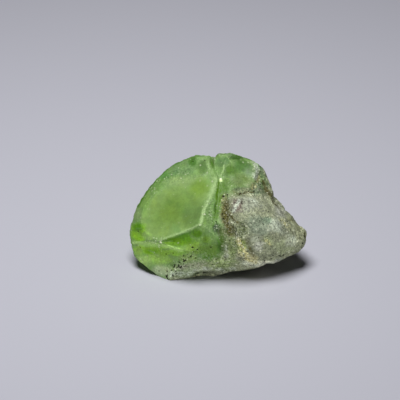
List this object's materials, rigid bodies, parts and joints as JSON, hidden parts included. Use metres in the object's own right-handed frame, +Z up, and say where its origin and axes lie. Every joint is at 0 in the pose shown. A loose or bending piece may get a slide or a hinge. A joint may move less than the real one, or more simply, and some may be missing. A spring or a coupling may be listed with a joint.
{
  "type": "raw peridot",
  "caption": "Lump of rough peridot, broken along shell-shaped and flat fractures, with a grey weathered rind at its blunt end.",
  "frame": {"origin": "middle of the box around the stone, on the surface that it rests on", "axes": "+X along the stone's length towards the blunt nose with the rind, +Y to its back, +Z up"},
  "size_m": [0.0222, 0.013, 0.0124],
  "materials": {
    "peridot": "waxy broken crystal, dull grey-green where the rind covers it"
  },
  "bodies": {
    "root": {"raw_peridot": "peridot"}
  },
  "joints": []
}
